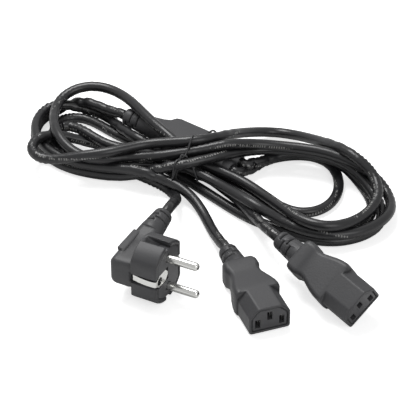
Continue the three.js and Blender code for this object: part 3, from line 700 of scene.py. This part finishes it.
# %% [markdown]
# ## Moulded PVC
# The plug, the junction and the connectors' grips are overmoulded in soft PVC from a tool with a
# fine spark-eroded grain. The real grain is about 0.15 mm across. It is drawn at about 1.2 mm, so
# that it still breaks the light at this distance. Handling leaves patches of about 20 mm a little
# glossier, and edges are rounded in shading by half a millimetre, which catches a thin highlight.

# %% Moulding material


def moulded(name, tones, roughness, grain, strength, rounding):
    """A moulded plastic: two close tones mixed by soft noise, grain as bump, edges rounded.

    grain is its noise's scale per metre, and rounding a radius in millimetres."""
    material, tree, shader = new_material(name)
    place = node(tree, "ShaderNodeTexCoord")
    where = place.outputs["Object"]
    cloud = node(tree, "ShaderNodeTexNoise", Vector=where, Scale=45.0, Detail=5.0)
    tone = node(tree, "ShaderNodeMix", {"data_type": "RGBA"}, i0=cloud.outputs["Fac"])
    tone.inputs[6].default_value = linear(tones[0])
    tone.inputs[7].default_value = linear(tones[1])
    tree.links.new(tone.outputs[2], shader.inputs["Base Color"])
    gloss = node(tree, "ShaderNodeMapRange", Value=cloud.outputs["Fac"],
                 To_Min=roughness[0], To_Max=roughness[1])
    tree.links.new(gloss.outputs[0], shader.inputs["Roughness"])
    speck = node(tree, "ShaderNodeTexNoise", Vector=where, Scale=grain, Detail=3.0)
    edge = node(tree, "ShaderNodeBevel", {"samples": 6}, Radius=rounding * MM)
    bump = node(tree, "ShaderNodeBump", Height=speck.outputs["Fac"], Strength=strength,
                Distance=0.0002, Normal=edge.outputs[0])
    tree.links.new(bump.outputs[0], shader.inputs["Normal"])
    shader.inputs["IOR"].default_value = 1.53
    return material


moulding = moulded(
    "spark_grained_pvc", ("#38383a", "#464648"), (0.42, 0.55), grain=850.0, strength=0.4, rounding=0.55
)
insert = moulded(
    "smooth_glass_filled_nylon", ("#424244", "#4a4a4c"), (0.36, 0.46), grain=2400.0, strength=0.12,
    rounding=0.25,
)
print("moulded materials made")

# %% [markdown]
# ## Nickel and the tie
# Pins and earth strips are brass with bright nickel plate. They were drawn, so fine lines about
# 1 mm apart and 15 mm long run along them, which pull the reflections out lengthwise. The tie is
# steel wire in a glossy black plastic coat.

# %% Metal and tie materials
nickel, tree, shader = new_material("bright_nickel_plate")
place = node(tree, "ShaderNodeTexCoord")
stretch = node(tree, "ShaderNodeMapping", Vector=place.outputs["Object"])
stretch.inputs["Rotation"].default_value = (0, 0, np.radians(27.2))  # the plug's own heading
stretch.inputs["Scale"].default_value = (60, 900, 900)
drawn = node(tree, "ShaderNodeTexNoise", Vector=stretch.outputs[0], Scale=1.0, Detail=2.0)
tone = node(tree, "ShaderNodeMix", {"data_type": "RGBA"}, i0=drawn.outputs["Fac"])
tone.inputs[6].default_value = linear("#dcdcd9")
tone.inputs[7].default_value = linear("#efefec")
tree.links.new(tone.outputs[2], shader.inputs["Base Color"])
gloss = node(tree, "ShaderNodeMapRange", Value=drawn.outputs["Fac"], To_Min=0.14, To_Max=0.26)
tree.links.new(gloss.outputs[0], shader.inputs["Roughness"])
bump = node(tree, "ShaderNodeBump", Height=drawn.outputs["Fac"], Strength=0.08, Distance=0.0001)
tree.links.new(bump.outputs[0], shader.inputs["Normal"])
shader.inputs["Metallic"].default_value = 1.0

tie_coat = moulded(
    "coated_tie_wire", ("#262628", "#303032"), (0.28, 0.38), grain=1200.0, strength=0.1, rounding=0.1
)
for thing, _, _ in tubes.values():
    thing.data.materials.append(sheath)
for piece in (tie, tail):
    piece.data.materials.append(tie_coat)

# %% [markdown]
# ## Rounded shading on the moulded pieces
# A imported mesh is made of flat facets. A copy of each soft moulding and of each pin has its
# doubled corners merged and is shaded smooth up to an angle of 32 degrees. Normals weighted by
# face area keep its flats flat. The copy stands for the node and does not move. The inserts,
# contacts and carrier are flat-sided and stay as they are.

# %% Smooth copies
LOOKS = {
    "moulding": moulding, "carrier": insert, "nickel": nickel, "tie": tie_coat, "sheath": sheath
}
SMOOTH_BELOW = np.radians(32)
slot_of = {part["node"]: part["material_slot"] for part in frame["record"]["subparts"]}


def smooth_copy(name, slot):
    """A merged copy of a node at the origin, smooth below a limit angle, riding in its place."""
    source = bpy.data.objects[name]
    mesh = source.data.copy()
    mesh.transform(source.matrix_world)
    work = bmesh.new()
    work.from_mesh(mesh)
    bmesh.ops.remove_doubles(work, verts=work.verts, dist=0.00001)
    work.to_mesh(mesh)
    work.free()
    mesh.polygons.foreach_set("use_smooth", np.ones(len(mesh.polygons), bool))
    mesh.set_sharp_from_angle(angle=SMOOTH_BELOW)
    mesh.materials.clear()
    mesh.materials.append(LOOKS[slot])
    copy = bpy.data.objects.new(name + "_finish", mesh)
    bpy.context.collection.objects.link(copy)
    weighted = copy.modifiers.new("flats stay flat", "WEIGHTED_NORMAL")
    weighted.keep_sharp = True
    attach(copy, "root")
    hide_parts(name)


rounded = [name for name, slot in slot_of.items() if slot == "moulding" or "pin" in name]
for name in rounded:
    smooth_copy(name, slot_of[name])
print("smooth copies:", len(rounded))

# %% Finish on the nodes themselves
for name, slot in slot_of.items():
    thing = bpy.data.objects[name]
    if len(thing.material_slots) == 0:
        thing.data.materials.append(LOOKS[slot])
    for material_slot in thing.material_slots:
        material_slot.material = LOOKS[slot]
print("CAD nodes dressed:", len(slot_of))

# %% [markdown]
# ## Floor, world and lamps
# The picture's ground is plain white with almost no shadow. The floor is a pale matt sheet. To
# the camera it also glows a little, so that it reaches white and still keeps the shadow. The
# world is white to the camera, brighter in reflections than in its light, and gives a soft fill.

# %% Floor and world
HALF_FLOOR = 6
FLOOR_GLOW = 0.66
FILL, MORE_IN_REFLECTIONS = 0.26, 0.34
floor_data = bpy.data.meshes.new("floor")
corners = [(-HALF_FLOOR, -HALF_FLOOR, 0), (HALF_FLOOR, -HALF_FLOOR, 0),
           (HALF_FLOOR, HALF_FLOOR, 0), (-HALF_FLOOR, HALF_FLOOR, 0)]
floor_data.from_pydata(corners, [], [(0, 1, 2, 3)])
floor = bpy.data.objects.new("floor", floor_data)
bpy.context.collection.objects.link(floor)
paper, tree, shader = new_material("white_sheet")
shader.inputs["Base Color"].default_value = linear("#f4f4f4")
shader.inputs["Roughness"].default_value = 0.9
rays = node(tree, "ShaderNodeLightPath")
lift = node(tree, "ShaderNodeMath", MULTIPLY, i0=rays.outputs["Is Camera Ray"], i1=FLOOR_GLOW)
tree.links.new(lift.outputs[0], shader.inputs["Emission Strength"])
shader.inputs["Emission Color"].default_value = (1, 1, 1, 1)
floor_data.materials.append(paper)

world = bpy.data.worlds.new("studio")
bpy.context.scene.world = world
world.use_nodes = True
tree = world.node_tree
tree.nodes.clear()
rays = node(tree, "ShaderNodeLightPath")
bright = node(tree, "ShaderNodeMath", {"operation": "MULTIPLY_ADD"},
              i0=rays.outputs["Is Glossy Ray"], i1=MORE_IN_REFLECTIONS, i2=FILL)
plain = node(tree, "ShaderNodeBackground", Color=(1, 1, 1, 1), Strength=bright.outputs[0])
white = node(tree, "ShaderNodeBackground", Color=(1, 1, 1, 1), Strength=1.0)
mixed = node(tree, "ShaderNodeMixShader", i0=rays.outputs["Is Camera Ray"],
             i1=plain.outputs[0], i2=white.outputs[0])
node(tree, "ShaderNodeOutputWorld", Surface=mixed.outputs[0])
print("floor and world made")

# %% [markdown]
# Soft boxes stand above and behind, so that the cords get a long soft highlight along their tops
# as they have in the picture, and a weak one in front opens the faces of the plug and connectors.

# %% Lamps


def soft_box(name, at, size, power):
    """A square area lamp at a point in metres, aimed at the middle of the object."""
    data = bpy.data.lights.new(name, "AREA")
    data.shape = "SQUARE"
    data.size = size
    data.energy = power
    lamp = bpy.data.objects.new(name, data)
    lamp.location = at
    lamp.rotation_euler = (Vector((0, 0, 0)) - Vector(at)).to_track_quat("-Z", "Y").to_euler()
    bpy.context.collection.objects.link(lamp)


soft_box("top_box", (-0.25, 0.35, 0.95), 0.5, 7.0)
soft_box("front_box", (0.5, -1.0, 0.8), 0.8, 4.0)
print("lamps: 2")
